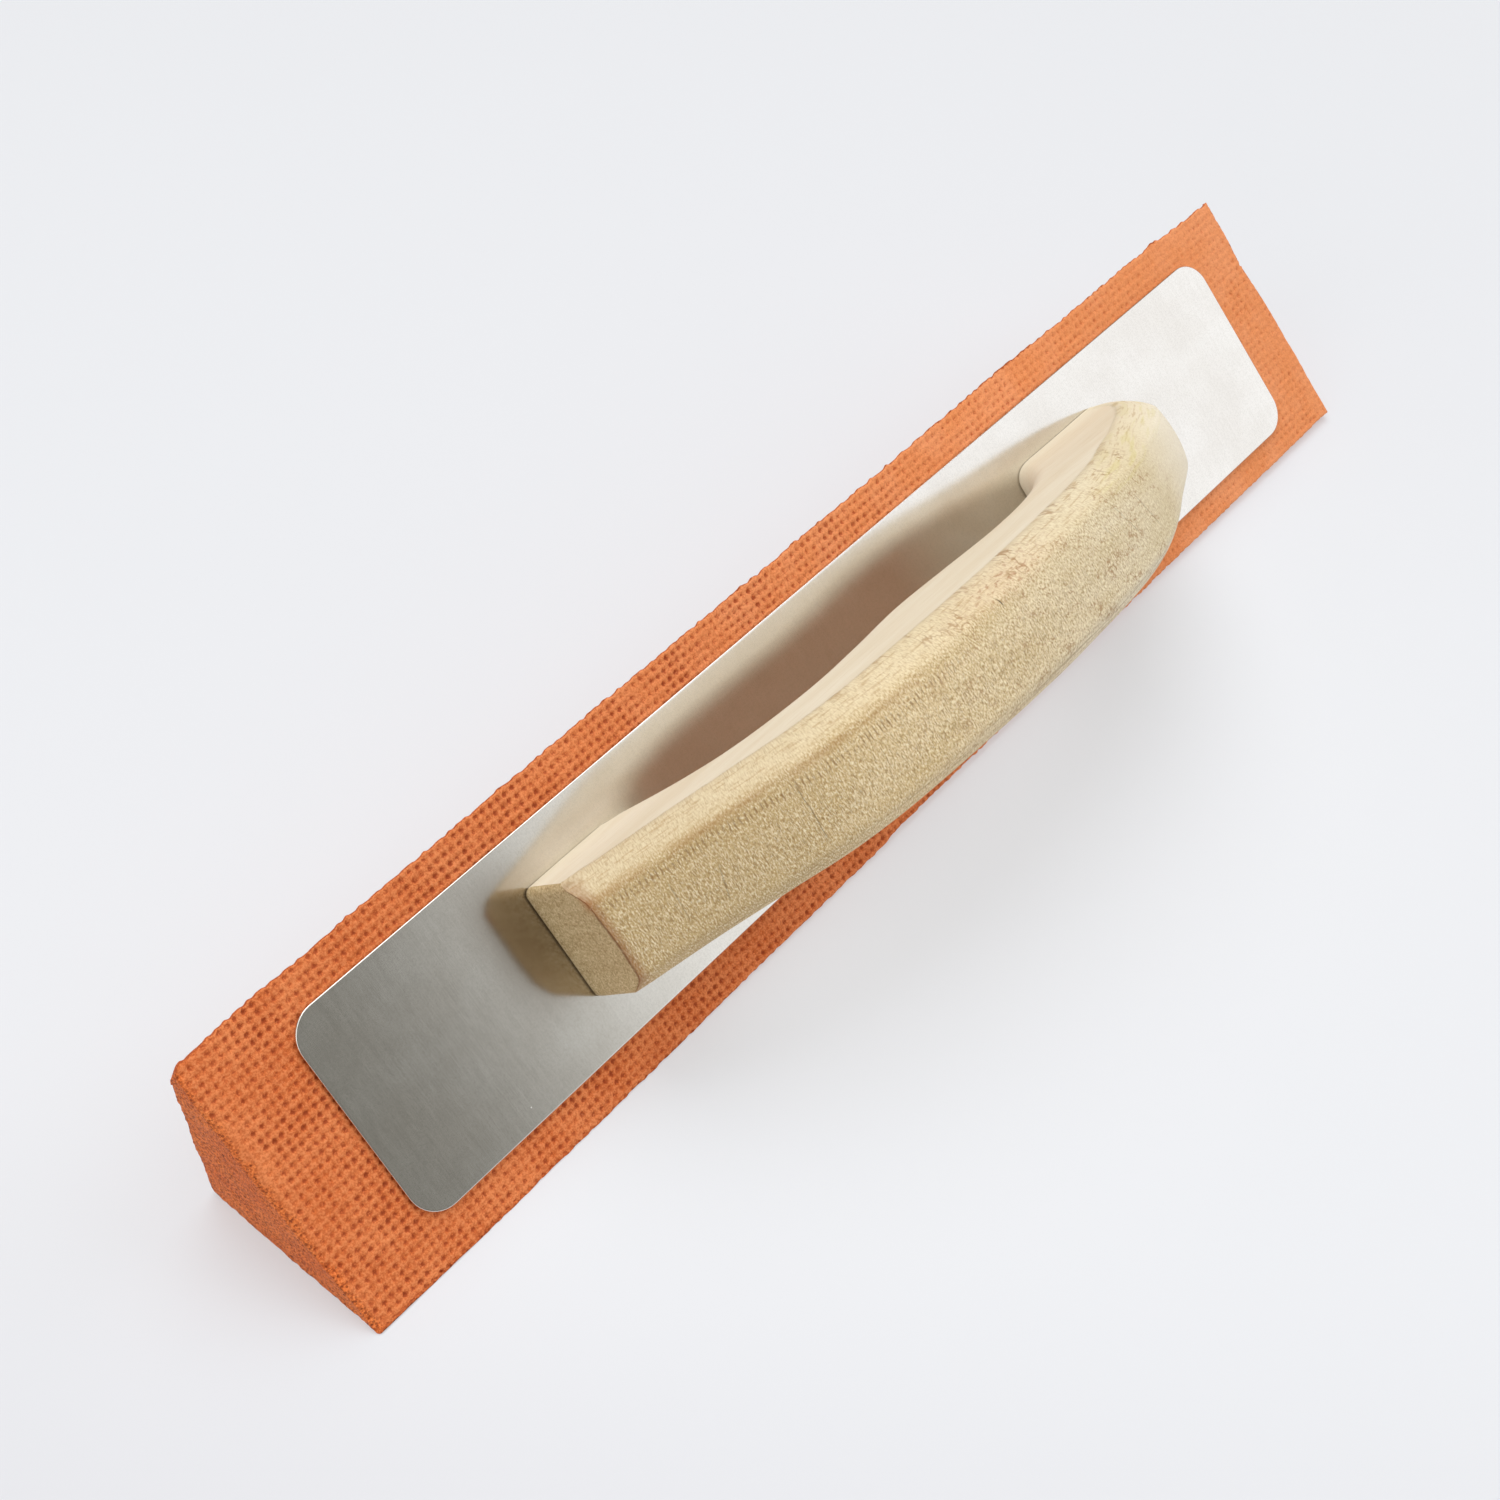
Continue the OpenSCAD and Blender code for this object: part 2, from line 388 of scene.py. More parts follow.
def sawn_cells(s, grain, patch, hollow, speck):
    """Open fine cells, with painted shade in their hollows and in some larger holes."""
    sawn = s.mixed(s.between(patch, 0.3, 0.7), srgb(236, 118, 52), srgb(246, 134, 66))
    # Painted shade: the hollows of the cells are darkened.
    sawn = s.mixed(s.math("MULTIPLY", hollow, 0.62), sawn, srgb(156, 60, 26))
    sawn = s.mixed(s.between(grain, 0.38, 0.58, 0.6, 0), sawn, srgb(146, 60, 30))
    sawn = s.mixed(s.between(grain, 0.53, 0.68, 0, 0.45), sawn, srgb(250, 162, 104))
    # Painted shade: the larger holes are darkened.
    return s.mixed(s.math("MULTIPLY", speck, 0.55), sawn, srgb(108, 44, 22))


CELL_SIZE, BIG_CELL_SIZE = 0.85, 2.3


def cellular_rubber():
    """Moulded skin, and open fine cells where it is cut."""
    s = Shader("cellular_rubber")
    place = s.axes()
    cut = s.attribute("cut")
    grain = s.noise(place, (0.6, 0.6, 0.6), detail=3, roughness=0.65)
    patch = s.noise(place, (14, 14, 14), detail=3)
    blotch = s.noise(place, (3.2, 3.2, 3.2), detail=2)
    hollow = s.between(s.cells(place, CELL_SIZE), 0.15, 0.46, 1, 0)
    speck = s.product(s.between(s.cells(place, BIG_CELL_SIZE), 0.1, 0.26, 1, 0),
                      s.between(blotch, 0.42, 0.56), s.between(cut, 0.7, 1))

    skin = moulded_skin(s, place, grain, patch, blotch)
    sawn = sawn_cells(s, grain, patch, hollow, speck)
    s.set(Base_Color=s.mixed(cut, skin, sawn), Roughness=s.between(grain, 0.2, 0.8, 0.6, 0.8))
    s.set(Specular_IOR_Level=0.22)
    fine = s.bumped(grain, 0.16)
    rough = s.math("MULTIPLY", s.math("ADD", hollow, speck), cut)
    s.set(Normal=s.bumped(s.math("SUBTRACT", 1, rough), 0.3, fine))
    return s.material


def brushed_plate():
    """Thin rolled sheet, faintly brushed across, with dust and painted shade by the handle's rear
    face.
    """
    s = Shader("brushed_plate")
    place = s.axes()
    brush = s.noise(place, (0.22, 14, 5), detail=3, roughness=0.6)
    cloud = s.noise(place, (22, 16, 16), detail=3)
    smear = s.noise(place, (2.2, 7, 7), detail=4, roughness=0.6)
    pebble = s.noise(place, (0.5, 0.5, 0.5), detail=2)
    dust = s.product(s.between(s.cells(place, 7), 0.018, 0.032, 1, 0),
                     s.between(cloud, 0.5, 0.56))
    metal = s.mixed(s.between(cloud, 0.3, 0.7), srgb(222, 218, 212), srgb(228, 225, 220))
    metal = s.mixed(s.between(brush, 0.3, 0.7, 0.1, 0), metal, srgb(190, 186, 178))
    metal = s.mixed(s.between(smear, 0.3, 0.6, 0.07, 0), metal, srgb(190, 186, 178))
    metal = s.mixed(s.between(pebble, 0.3, 0.6, 0.13, 0), metal, srgb(176, 172, 164))
    x, y, _ = s.parts(place)
    # Painted shade: a darker patch by the handle's rear face stands in for its contact shadow and
    # dims the reflection there.
    painted_shade_by_handle = s.product(s.bell(x, handle_rear_x * MM - 0.006, 0.018), s.bell(y, 0.008, 0.03))
    metal = s.mixed(s.math("MULTIPLY", painted_shade_by_handle, 0.8), metal, srgb(150, 140, 128))
    s.set(Base_Color=s.mixed(dust, metal, srgb(246, 246, 242)))
    s.set(Metallic=s.math("SUBTRACT", 1, dust))
    dullness = s.total(
        s.between(brush, 0.2, 0.8, 0.12, 0.145), s.between(smear, 0.3, 0.7, -0.01, 0.01))
    s.set(Roughness=s.largest(dullness, s.product(dust, 0.8)))
    height = s.total(s.math("MULTIPLY", brush, 0.6), s.math("MULTIPLY", pebble, 0.4))
    s.set(Normal=s.bumped(height, 0.0025))
    return s.material


def contact_adhesive():
    """Dull amber glue line with rolled crumbs."""
    s = Shader("contact_adhesive")
    crumbs = s.noise(s.axes(), (1.2, 1.2, 1.2), detail=3)
    s.set(Base_Color=s.mixed(crumbs, srgb(120, 92, 58), srgb(168, 132, 84)))
    s.set(Roughness=s.between(crumbs, 0.3, 0.7, 0.4, 0.65), Normal=s.bumped(crumbs, 0.1))
    return s.material


def zinc_screw():
    """Zinc plate with a little dulling."""
    s = Shader("zinc_screw")
    dull = s.noise(s.axes(), (1.5, 1.5, 1.5), detail=3)
    s.set(Base_Color=s.mixed(dull, srgb(178, 178, 174), srgb(208, 208, 204)), Metallic=1.0)
    s.set(Roughness=s.between(dull, 0.3, 0.7, 0.25, 0.42), Normal=s.bumped(dull, 0.02))
    return s.material


# Place along the tool, lean, reach across from and to, half width, weight
SCRATCHES = [(-66.5, 0.02, -8.5, 8.5, 0.26, 0.5), (-89, 0.22, -8, 2.5, 0.28, 0.4),
             (-99.5, 0.05, -7, 6, 0.28, 0.35), (6.5, -0.2, 8.5, 12.5, 0.35, 1),
             (57, -0.35, -3, 9, 0.3, 0.3), (66, -0.3, -6, 6, 0.3, 0.3),
             (49, -0.4, 1, 7.5, 0.3, 0.25)]
SCRATCH_WOBBLE = 0.4
SCRATCH_END = 2
COMB_PITCH = 1.45


def sawn_side(s, figure, fibre):
    """Creamy sawn wood, with painted shade, darker and pinker, under the grip."""
    side = s.mixed(s.between(figure, 0.3, 0.7), srgb(241, 226, 199), srgb(247, 235, 212))
    side = s.mixed(s.between(fibre, 0.45, 0.75, 0, 0.25), side, srgb(218, 194, 158))
    # Painted shade: the underside of the grip is tinted darker and pinker, as if shaded and lit
    # by the orange sponge.
    return s.mixed(s.math("MULTIPLY", s.attribute("under"), 0.9), side, srgb(232, 194, 164))


def sanded_crown(s, x, y, wrapped, pore):
    """Tan with open pores, darker to the rear and paler on the bevels and the nose."""
    front = s.between(x, -0.05, 0.07)
    rear = s.between(x, -0.1, -0.02, 0.75, 0)
    tone = s.noise(wrapped, (26, 7, 1), detail=3)
    rear_tan = s.mixed(s.between(tone, 0.3, 0.7), srgb(222, 195, 143), srgb(236, 211, 165))
    front_tan = s.mixed(s.between(tone, 0.3, 0.7), srgb(222, 204, 165), srgb(234, 219, 187))
    crown = s.mixed(front, rear_tan, front_tan)
    crown = s.mixed(rear, crown, srgb(194, 165, 112))
    crown = s.mixed(s.between(x, 0.078, 0.116, 0, 0.9), crown, srgb(250, 240, 220))
    pale_bevel = s.product(s.bell(y, -0.0135, 0.006), front, 0.65)
    crown = s.mixed(pale_bevel, crown, srgb(248, 235, 208))
    left_bevel = s.between(y, 0.0095, 0.0145)
    crown = s.mixed(s.math("MULTIPLY", left_bevel, 0.6), crown, srgb(244, 228, 196))
    calm = s.product(s.between(left_bevel, 0, 1, 1, 0.45), s.between(x, 0.04, 0.105, 1, 0.3))
    crown = s.mixed(s.product(s.between(pore, 0.5, 0.6, 0, 0.72), calm), crown,
                    srgb(176, 140, 92))
    crown = s.mixed(s.product(s.between(pore, 0.38, 0.49, 0.68, 0), calm), crown,
                    srgb(254, 244, 216))
    hair = s.noise(wrapped, (7, 0.45, 1), detail=3, roughness=0.6)
    return s.mixed(s.product(s.between(hair, 0.52, 0.64, 0, 0.5), left_bevel), crown,
                   srgb(196, 160, 112))


def paper_strokes(s, x, y, wrapped, stroke):
    """Shares of dark and of pale strokes that coarse paper left across the grain."""
    jitter = s.product(s.noise(wrapped, (3.5, 4, 1)), 6)
    turn = s.product(s.attribute("along"), 2 * math.pi / (COMB_PITCH * MM))
    comb = s.math("SINE", s.math("ADD", turn, jitter))
    comb_line = s.between(x, -0.1, -0.037, 0.0083, 0.0062)
    comb_row = s.product(s.bell(y, comb_line, 0.0027), s.between(x, 0.0, -0.03))
    broken = s.between(s.noise(wrapped, (7, 1.6, 1), detail=2), 0.38, 0.5)
    comb_mask = s.total(s.product(s.between(stroke, 0.3, 0.46), comb_row, broken, 0.72),
                        s.product(s.between(stroke, 0.42, 0.56), s.bell(y, -0.001, 0.014), 0.16))
    worn = s.product(s.bell(y, -0.002, 0.016), s.between(x, 0.09, 0.0, 0.3, 1))
    dark = s.largest(s.product(s.between(stroke, 0.54, 0.64), worn, 0.5),
                     s.product(s.between(comb, 0.2, 0.9), comb_mask))
    return dark, s.product(s.between(stroke, 0.37, 0.47, 1, 0), worn, 0.5)


def blemished(s, crown, x, y, wrapped):
    """Adds a streak by the left ridge, reddish flecks, torn fibres and the yellow nose."""
    streak_y = s.between(x, -0.112, -0.039, 0.0112, 0.0098)
    streak = s.product(s.bell(y, streak_y, 0.0019), s.between(x, -0.012, -0.05),
                       s.between(s.noise(wrapped, (12, 1.5, 1)), 0.3, 0.55))
    crown = s.mixed(s.math("MULTIPLY", streak, 0.45), crown, srgb(176, 130, 74))
    fleck_zone = s.product(s.bell(x, 0.011, 0.028), s.bell(y, 0.0135, 0.006))
    crown = s.mixed(s.math("MULTIPLY", fleck_zone, 0.14), crown, srgb(214, 154, 112))
    flecks = s.product(
        s.between(s.noise(wrapped, (1.5, 0.8, 1), detail=3), 0.54, 0.64), fleck_zone)
    crown = s.mixed(s.math("MULTIPLY", flecks, 0.6), crown, srgb(174, 112, 72))
    front_zone = s.product(s.between(x, -0.06, 0.0), s.between(x, 0.1, 0.07))
    torn = s.product(s.between(s.noise(wrapped, (8, 5, 1), detail=2), 0.5, 0.6), front_zone)
    worms = s.product(s.bell(s.noise(wrapped, (2.6, 3.4, 1), detail=2), 0.5, 0.04), torn)
    crown = s.mixed(s.math("MULTIPLY", worms, 0.7), crown, srgb(172, 128, 84))
    nose_veins = s.between(s.noise(wrapped, (14, 1.3, 1), detail=2), 0.5, 0.62, 0.12, 1)
    nose_glow = s.product(s.bell(y, 0.0125, 0.006), s.between(x, 0.045, 0.07), nose_veins)
    crown = s.mixed(s.math("MULTIPLY", nose_glow, 0.42), crown, srgb(220, 206, 128))
    grain_line = s.noise(wrapped, (30, 0.8, 1), detail=2)
    right_edge = s.bell(y, -0.0135, 0.004)
    return s.mixed(s.product(s.between(grain_line, 0.5, 0.62), right_edge, 0.5),
                   crown, srgb(162, 130, 82))


def scratches(s, x, y, wrapped):
    """Share of scratch, from the rows of SCRATCHES."""
    wobble = s.product(s.noise(wrapped, (3, 2, 1)), SCRATCH_WOBBLE * MM)

    def scratch(at, lean, low, high, width, weight):
        line = s.total(at * MM, s.product(y, lean), wobble)
        return s.product(s.bell(x, line, width * MM),
                         s.between(y, low * MM, (low + SCRATCH_END) * MM),
                         s.between(y, high * MM, (high - SCRATCH_END) * MM), weight)

    return s.largest(*[scratch(*row) for row in SCRATCHES])


def raw_beech():
    """Unfinished beech: sawn sides, and a crown and bevels sanded across the grain."""
    s = Shader("raw_beech")
    place = s.axes()
    x, y, z = s.parts(place)
    wrapped = s.joined(s.attribute("along"), y, 0.0)
    figure = s.noise(place, (60, 9, 7), detail=3)
    fibre = s.noise(place, (9, 0.5, 0.5), detail=3)
    pore = s.noise(wrapped, (0.33, 0.85, 1), detail=3, roughness=0.7)
    stroke = s.noise(wrapped, (0.38, 2.2, 1), detail=3, roughness=0.6)

    crown = sanded_crown(s, x, y, wrapped, pore)
    dark, pale = paper_strokes(s, x, y, wrapped, stroke)
    crown = s.mixed(dark, crown, srgb(150, 114, 70))
    crown = s.mixed(pale, crown, srgb(254, 240, 210))
    crown = blemished(s, crown, x, y, wrapped)
    marks = scratches(s, x, y, wrapped)
    crown = s.mixed(marks, crown, srgb(84, 62, 38))
    burn = s.product(s.attribute("rim"), s.between(s.noise(place, (3, 3, 3)), 0.3, 0.5, 0.5, 1))
    crown = s.mixed(s.math("MULTIPLY", burn, 0.7), crown, srgb(150, 92, 50))

    # The sanding ends on the sides along a ragged line.
    edge = s.math("ADD", s.attribute("crown"), s.between(figure, 0.2, 0.8, -0.16, 0.16))
    edge = s.math("ADD", edge, s.between(pore, 0.2, 0.8, -0.12, 0.12))
    sanded = s.between(edge, 0.6, 0.82)
    wood = s.mixed(sanded, sawn_side(s, figure, fibre), crown)
    # Painted shadow: the wood darkens along its lowest part, just above the plate.
    painted_contact_shadow = s.between(z, 0.0014, 0.0021, 0.5, 0)
    s.set(Base_Color=s.mixed(painted_contact_shadow, wood, srgb(104, 82, 56)))
    s.set(Roughness=s.between(fibre, 0.2, 0.8, 0.58, 0.72), Specular_IOR_Level=0.3)
    cuts = s.largest(dark, marks, s.between(pore, 0.5, 0.8, 0, 0.5))
    scraped = s.product(s.between(stroke, 0.3, 0.75), 0.5)
    depth = s.product(s.math("SUBTRACT", 1, s.math("ADD", cuts, scraped)), sanded)
    s.set(Normal=s.bumped(depth, 0.13, s.bumped(fibre, 0.03)))
    return s.material


def beech_end_grain():
    """The sawn rear face: short dark pores, an upper rim burnt by the saw, and painted shadow
    along its foot.
    """
    s = Shader("beech_end_grain")
    place = s.axes()
    _, y, z = s.parts(place)
    speckle = s.noise(place, (0.6, 0.55, 0.45), detail=3, roughness=0.75)
    ring = s.noise(place, (4, 1.6, 14), detail=2)
    wood = s.mixed(s.between(ring, 0.3, 0.7), srgb(196, 170, 126), srgb(206, 182, 138))
    wood = s.mixed(s.between(speckle, 0.5, 0.62, 0, 0.7), wood, srgb(150, 120, 78))
    wood = s.mixed(s.between(speckle, 0.36, 0.48, 0.6, 0), wood, srgb(244, 226, 188))
    singe = s.noise(place, (2, 2, 2), detail=2)
    burn = s.product(s.between(s.attribute("rim"), 0.15, 0.9), s.between(singe, 0.3, 0.5, 0.6, 1))
    wood = s.mixed(s.math("MULTIPLY", burn, 0.8), wood, srgb(128, 78, 42))
    spot = s.product(s.bell(y, 0.0125, 0.006), s.bell(z, 0.029, 0.005))
    wood = s.mixed(s.math("MULTIPLY", spot, 0.5), wood, srgb(190, 118, 64))
    # Painted shadow: the rear face darkens towards its foot on the plate.
    wood = s.mixed(s.between(z, 0.0014, 0.0026, 0.8, 0), wood, srgb(70, 54, 38))
    s.set(Base_Color=wood, Roughness=0.78, Specular_IOR_Level=0.2)
    s.set(Normal=s.bumped(speckle, 0.12))
    return s.material


def pale_floor():
    s = Shader("pale_floor")
    place = s.node("ShaderNodeTexCoord", {}, {}, "Object")
    cloud = s.noise(place, (260, 260, 260), detail=2)
    x, y, _ = s.parts(place)
    towards = s.math("ADD", s.product(x, -0.8), s.product(y, -0.5))
    pale = s.mixed(cloud, srgb(177, 179, 184), srgb(179, 181, 186))
    shade = s.between(towards, 0.12, 0.32)
    s.set(Base_Color=s.mixed(shade, pale, srgb(160, 160, 166)), Roughness=0.75)
    s.set(Specular_IOR_Level=0.2, Emission_Color=(0.985, 0.985, 1, 1), Emission_Strength=0.373)
    return s.material


# ---- sponge --------------------------------------------------------------------------

PIT_STEPS = 5
PIT_ALONG, PIT_ACROSS = 2.48, 2.33
PIT_RADIUS = 0.44
PIT_DEPTH = 0.85
WEAVE_DEPTH = 0.12
UNDER_PLATE = 3
ROW_SPACING = 2.2
CUT_SPACING = 0.7

EDGE_REACH, END_REACH = 10, 20
MIN_STRIP = 0.25
NEAR_CHAMFER = 1.3
NEAR_EDGE_R, NEAR_EDGE_WEAR, FAR_EDGE_R = 1, 2.6, 0.9
# The left edge's number, then the right edge's
EDGE_DRIFT, EDGE_FRAY, LONG_EDGE_R = (0.22, 0.06), (0.42, 0.2), (0.7, 0.45)
SKIN_GRAIN = 0.1
TEAR_FINE, TEAR_BROAD = 0.22, 0.12
STRIP_CUT_SHARE = 0.45

# Distance of the hand-cut long edges from the middle: place along the tool, distance
LEFT_EDGE = [(-209, 38.4), (-195, 39.2), (-183, 39.5), (-123, 39.9), (-63, 40.3),
             (57, 40.4), (88, 41), (147, 40.5), (176, 40.5),
             (179, 41.3), (182, 40.2), (209, 39.6)]
RIGHT_EDGE = [(-209, 41.9), (-185, 41.6), (-153, 41.1), (-117, 40.8), (-81, 40.3), (-20, 40),
              (-12, 39.3), (57, 39), (117, 38.5), (209, 38)]


def pit_lattice(x, y, steps_x, steps_y):
    """Shares of pit and of weave at places on the skin, from 0 on a ridge to 1."""
    u, v = x / steps_x, y / steps_y
    cells = np.stack([np.floor(u), np.floor(v)], -1).astype(int)
    rng = np.random.default_rng(3)
    order = rng.permutation(NOISE_CELLS)
    pick = hashed(cells, order)
    offset = rng.uniform(-0.1, 0.1, (NOISE_CELLS, 2))[pick]
    depth = rng.uniform(0.55, 1.1, NOISE_CELLS)[pick]
    du = u - cells[:, 0] - 0.5 - offset[:, 0]
    dv = v - cells[:, 1] - 0.5 - offset[:, 1]
    away = (np.abs(du) ** 1.3 + np.abs(dv) ** 1.3) ** (1 / 1.3) / PIT_RADIUS
    pit = depth * np.maximum(0, 1 - away ** 1.5)
    weave = 0.5 - 0.25 * (np.cos(2 * np.pi * u) + np.cos(2 * np.pi * v))
    return pit, weave


def round_corner(a, b, r):
    """Bends the corner between two faces round; a and b are distances in from them."""
    m = np.minimum(a, b)
    radius = np.maximum(r - m, 1e-9)
    d = np.maximum(a, b) - m
    near = (d < radius) & (m < r)
    turn = np.pi / 4 * (1 - d / radius)
    longer = m + radius * (1 - np.sin(turn))
    shorter = m + radius * (1 - np.cos(turn))
    first = np.where(near, np.where(a >= b, longer, shorter), a)
    second = np.where(near, np.where(a >= b, shorter, longer), b)
    return first, second


def sponge_patches():
    """The plain block: dense on the skin that shows, plain under the plate."""
    rng = np.random.default_rng(11)
    length = far_x - near_x
    nx = round(length / PIT_ALONG * PIT_STEPS)
    ny = round(2 * sponge_half / PIT_ACROSS * PIT_STEPS)
    xs = np.linspace(near_x, far_x, nx + 1)
    ys = np.linspace(-sponge_half, sponge_half, ny + 1)
    i0, i1 = np.searchsorted(xs, [plate_lo[0] + UNDER_PLATE, plate_hi[0] - UNDER_PLATE])
    j0, j1 = np.searchsorted(ys, [UNDER_PLATE - plate_half, plate_half - UNDER_PLATE])

    block = Patches()
    points = np.zeros((nx + 1, ny + 1, 3))
    points[..., 0], points[..., 1] = xs[:, None], ys[None, :]
    index = np.arange((nx + 1) * (ny + 1)).reshape(nx + 1, ny + 1)
    faces = (grid_faces(index[:, :j0 + 1]) + grid_faces(index[:, j1:])
             + grid_faces(index[:i0 + 1, j0:j1 + 1]) + grid_faces(index[i1:, j0:j1 + 1]))
    for i in range(i0, i1):
        rear = index[i, j1:j0 - 1:-1] if i == i0 else index[i, [j1, j0]]
        front = index[i + 1, j0:j1 + 1] if i == i1 - 1 else index[i + 1, [j0, j1]]
        faces.append([*rear.tolist(), *front.tolist()])
    block.add(points.reshape(-1, 3), faces)

    # Blunt strips, sole faces and the round ridge
    drop = sponge_half - RIDGE_R * COS45
    sole_len = drop / COS45
    rows = round(length / ROW_SPACING)
    ridge_xs = np.linspace(near_x, far_x, rows + 1)
    column = np.linspace(0, 1, round(sole_len / CUT_SPACING) + 1)
    strip_steps = np.linspace(0, 1, 4)
    for side in (-1, 1):
        block.add(*grid([[(x, side * sponge_half, -EDGE_STRIP * t) for t in strip_steps]
                         for x in xs]))
        outline = ([(x, 0) for x in xs] + [(far_x, t * sole_len) for t in column[1:]]
                   + [(x, sole_len) for x in ridge_xs[-2::-1]]
                   + [(near_x, t * sole_len) for t in column[-2:0:-1]])
        flat, triangles = filled(outline, ROW_SPACING, rng)
        share = flat[:, 1] / sole_len
        block.add(np.stack([flat[:, 0], side * (sponge_half - share * drop),
                            -EDGE_STRIP - share * drop], -1), triangles)
    arc = np.radians(np.linspace(-135, -45, 5))
    ridge_z = RIDGE_R / COS45 - ridge_depth
    ridge = np.stack([RIDGE_R * np.cos(arc), ridge_z + RIDGE_R * np.sin(arc)], -1)
    block.add(*grid([[(x, y, z) for y, z in ridge] for x in ridge_xs]))

    # The two sawn ends
    half = sponge_half
    section = ([(-half, -EDGE_STRIP * t) for t in strip_steps]
               + [(-(half - t * drop), -EDGE_STRIP - t * drop) for t in column[1:-1]]
               + ridge.tolist()
               + [(half - t * drop, -EDGE_STRIP - t * drop) for t in column[-2:0:-1]]
               + [(half, -EDGE_STRIP * t) for t in strip_steps[::-1]]
               + [(y, 0) for y in ys[-2:0:-1]])
    for x in (near_x, far_x):
        flat, triangles = filled(section, CUT_SPACING, rng)
        block.add(np.insert(flat, 0, x, axis=1), triangles)
    steps = (length / nx * PIT_STEPS, 2 * half / ny * PIT_STEPS)
    return block.welded()[:2], steps


def cut_edge(x, side):
    """Distance of the hand-cut long edge on that side from the middle."""
    left = side > 0
    line = np.stack([x, side * 50], -1)
    edge = np.where(left, np.interp(x, *zip(*LEFT_EDGE)), np.interp(x, *zip(*RIGHT_EDGE)))
    edge = edge + np.where(left, *EDGE_DRIFT) * wander(line, 7, 21)
    edge = edge + np.where(left, *EDGE_FRAY) * wander(line, 1.4, 22)
    return np.minimum(edge, ridge_depth - MIN_STRIP)


def moved_to_edge(x, y, z, edge):
    """Moves the sides out to the cut edge; the sole planes stay where they are."""
    side = np.sign(y)
    border = smooth(np.abs(y), sponge_half - EDGE_REACH, sponge_half)
    out = np.abs(y) + border * (edge - sponge_half)
    nominal = ridge_depth - np.abs(y)
    z = z * (ridge_depth - out) / nominal
    strip = ridge_depth - edge
    chamfer = NEAR_CHAMFER * (1 - smooth(x, -196, -172)) * ~(side > 0) * border
    out = out - chamfer * (1 - np.minimum(1, -z / strip))
    return side * out, z


def end_insets(y, z):
    """How far in the two sawn ends lie, because they are not quite square."""
    place = np.stack([y, z], -1)
    near_in = 0.45 * (1 - y / sponge_half) + 0.25 * (1 + wander(place, 9, 23))
    far_in = (0.2 + 1.1 * smooth(y, -5, 18) - 0.5 * smooth(y, 18, 40)
              + 0.25 * (1 + wander(place, 9, 24)))
    return near_in, far_in


def worn_corners(x, y, to_near, to_far, to_side, depth):
    """Distances in from the near, far, long and top faces, with the corners worn round."""
    left = y > 0
    near_r = NEAR_EDGE_R + NEAR_EDGE_WEAR * np.exp(-((y - 6) / 20) ** 2)
    to_near, depth = round_corner(to_near, depth, near_r)
    to_far, depth = round_corner(to_far, depth, FAR_EDGE_R)
    to_side, depth = round_corner(to_side, depth, np.where(left, *LONG_EDGE_R))
    plan_r = np.where(left, 3.6 - 2.8 * smooth(x, -190, -180), 1)
    to_near, to_side = round_corner(to_near, to_side, plan_r)
    return to_near, to_far, to_side, depth


def imprint(x, y, to_near, steps):
    """Shares of pit and weave, and depth of grain; faint on worn skin, none under the plate."""
    place = np.stack([x, y], -1)
    pit, weave = pit_lattice(
        x + 0.22 * wander(place, 30, 25), y + 0.18 * wander(place, 30, 26), *steps)
    inside = np.minimum.reduce([x - plate_lo[0], plate_hi[0] - x, plate_half - np.abs(y)])
    worn_band = 0.9 + 7 * np.exp(-((y - 8) / 13) ** 2)
    wear = smooth(to_near + 1.2 * wander(place, 5, 27), 0.0, worn_band)
    fading = 1 - 0.42 * smooth(x, -60, 130) - 0.1 * smooth(x, 130, 195)
    strength = ((0.95 + 0.25 * wander(place, 11, 28)) * wear * fading
                * (1 - smooth(inside, 1.2, 2.6)))
    grain = SKIN_GRAIN * (1 + wander(place, 1.1, 29)) * (1 - smooth(inside, 0, 1))
    return pit * strength, weave * strength, grain


